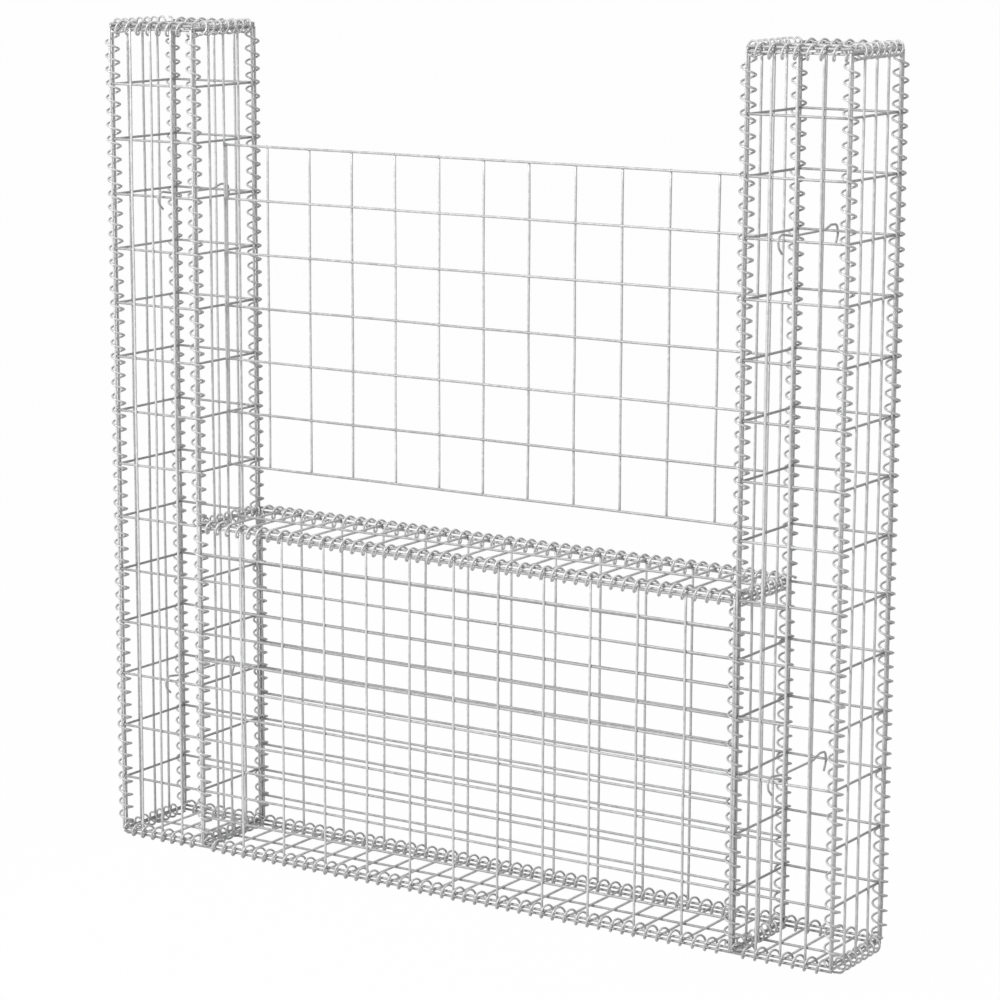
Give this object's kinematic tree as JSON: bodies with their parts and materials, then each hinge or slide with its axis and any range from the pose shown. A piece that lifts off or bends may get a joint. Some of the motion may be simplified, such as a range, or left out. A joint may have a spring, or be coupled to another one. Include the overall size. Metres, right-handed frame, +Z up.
{
  "type": "gabion wall basket",
  "caption": "Empty gabion wall of galvanised welded mesh: slim towers at both ends, a low basket and an open mesh screen between them, laced with wire coils, to be filled with stone.",
  "frame": {"origin": "on the ground, under the middle of the wall", "axes": "+X along the wall to the right, -Y towards the front, +Z up"},
  "size_m": [1.5292, 0.2084, 1.5342],
  "materials": {
    "mesh_wire": "bright galvanised mesh wire",
    "coil_wire": "bright galvanised thin wire",
    "tie_wire": "bright galvanised bent rod"
  },
  "bodies": {
    "root": {"base_front_panel": "mesh_wire", "base_back_panel": "mesh_wire", "base_lid": "mesh_wire", "base_floor": "mesh_wire", "screen_panel": "mesh_wire", "left_tower_front_panel": "mesh_wire", "left_tower_back_panel": "mesh_wire", "left_tower_outer_panel": "mesh_wire", "left_tower_inner_panel": "mesh_wire", "left_tower_lid": "mesh_wire", "left_tower_floor": "mesh_wire", "right_tower_front_panel": "mesh_wire", "right_tower_back_panel": "mesh_wire", "right_tower_outer_panel": "mesh_wire", "right_tower_inner_panel": "mesh_wire", "right_tower_lid": "mesh_wire", "right_tower_floor": "mesh_wire", "left_outer_front_coil": "coil_wire", "left_inner_front_coil": "coil_wire", "left_outer_back_coil": "coil_wire", "left_inner_back_coil": "coil_wire", "left_tower_lid_coils": "coil_wire", "left_tower_floor_coils": "coil_wire", "right_outer_front_coil": "coil_wire", "right_inner_front_coil": "coil_wire", "right_outer_back_coil": "coil_wire", "right_inner_back_coil": "coil_wire", "right_tower_lid_coils": "coil_wire", "right_tower_floor_coils": "coil_wire", "base_lid_front_coil": "coil_wire", "base_floor_front_coil": "coil_wire", "base_lid_back_coil": "coil_wire", "base_floor_back_coil": "coil_wire", "base_lid_end_coils": "coil_wire", "partition_floor_coils": "coil_wire", "left_tower_ties": "tie_wire", "right_tower_ties": "tie_wire"}
  },
  "joints": []
}
